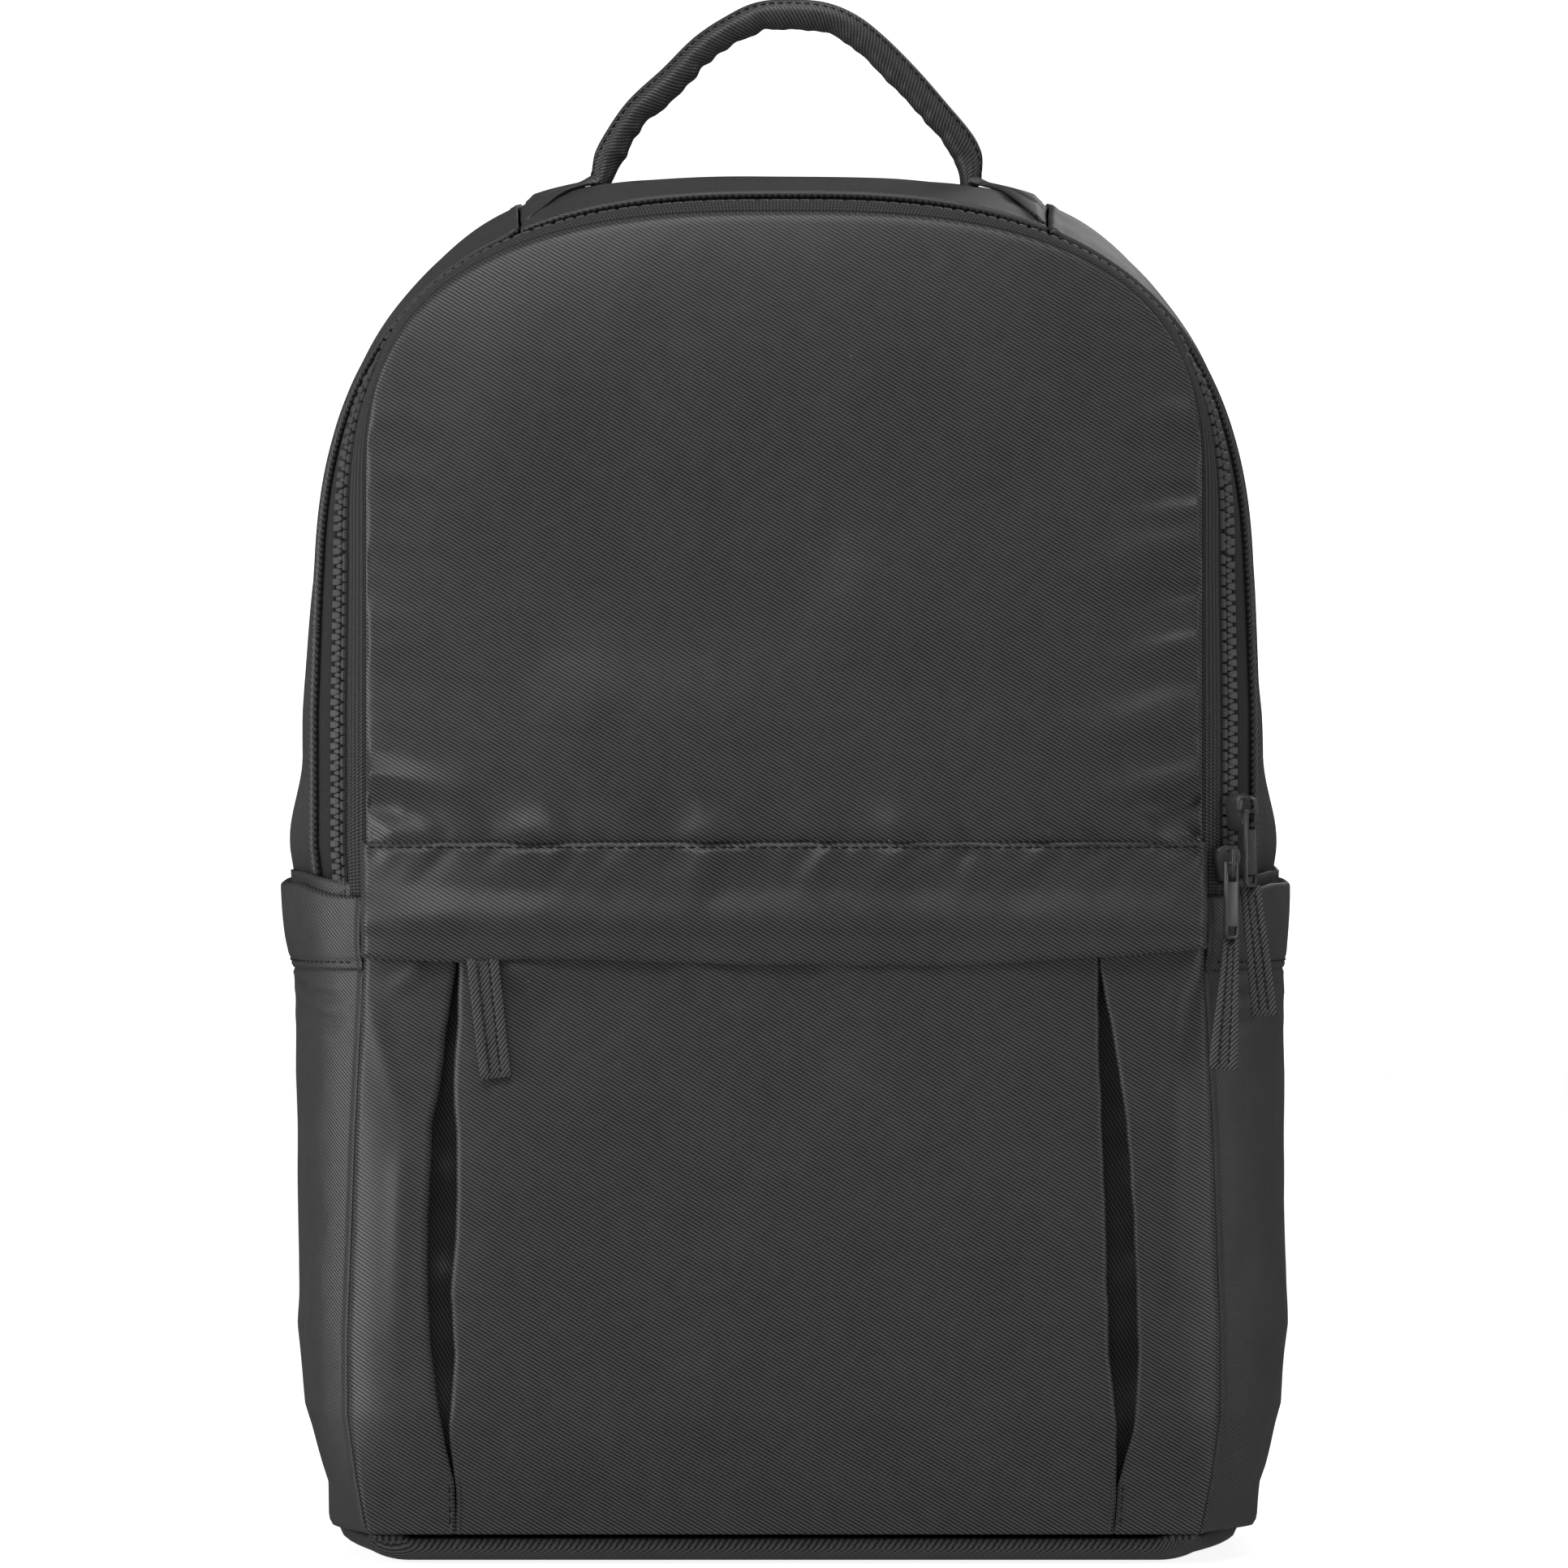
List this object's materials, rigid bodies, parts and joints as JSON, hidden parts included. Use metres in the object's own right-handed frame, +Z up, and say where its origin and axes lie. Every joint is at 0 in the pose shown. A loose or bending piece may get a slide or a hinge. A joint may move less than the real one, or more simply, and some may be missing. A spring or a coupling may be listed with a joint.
{
  "type": "laptop backpack",
  "caption": "Soft laptop backpack with an arched zip top, pleated front pocket under a flap, open side pockets, grab handle and padded shoulder straps.",
  "frame": {"origin": "middle of the flat base, on the surface that the bag stands on", "axes": "+Z up along the bag's height, -Y towards the front pocket, +Y towards the wearer's back, +X to the right as the front is seen"},
  "size_m": [0.3218, 0.2152, 0.4899],
  "materials": {
    "cloth": "satin twill",
    "zip_tape": "ribbed tape",
    "zip_teeth": "moulded, half gloss",
    "ribbon": "woven ribbon",
    "metal": "black, glossy",
    "buckle": "matte"
  },
  "bodies": {
    "root": {"front_panel": "cloth", "top_gusset": "cloth", "side_gusset_left": "cloth", "side_gusset_right": "cloth", "zip_end_strip_left": "cloth", "zip_end_strip_right": "cloth", "bottom_panel": "cloth", "back_panel": "cloth", "flap_band": "cloth", "pocket_centre_panel": "cloth", "pocket_side_left": "cloth", "pocket_side_right": "cloth", "pleat_underlay_left": "cloth", "pleat_underlay_right": "cloth", "side_pocket_left": "cloth", "side_pocket_right": "cloth", "side_hem_left": "cloth", "side_hem_right": "cloth", "grab_handle": "cloth", "handle_tail_left": "cloth", "handle_tail_right": "cloth", "strap_left": "cloth", "strap_right": "cloth", "strap_anchor_left": "cloth", "strap_anchor_right": "cloth", "zip_tape_front": "zip_tape", "zip_tape_back": "zip_tape", "pocket_zip": "zip_tape", "zip_chain": "zip_teeth", "ribbon_upper": "ribbon", "ribbon_lower": "ribbon", "pocket_ribbon": "ribbon", "strap_webbing_left": "ribbon", "strap_webbing_right": "ribbon", "slider_upper": "metal", "slider_lower": "metal", "puller_upper": "metal", "puller_lower": "metal", "pocket_slider": "metal", "strap_adjuster_left": "buckle", "strap_adjuster_right": "buckle"}
  },
  "joints": []
}
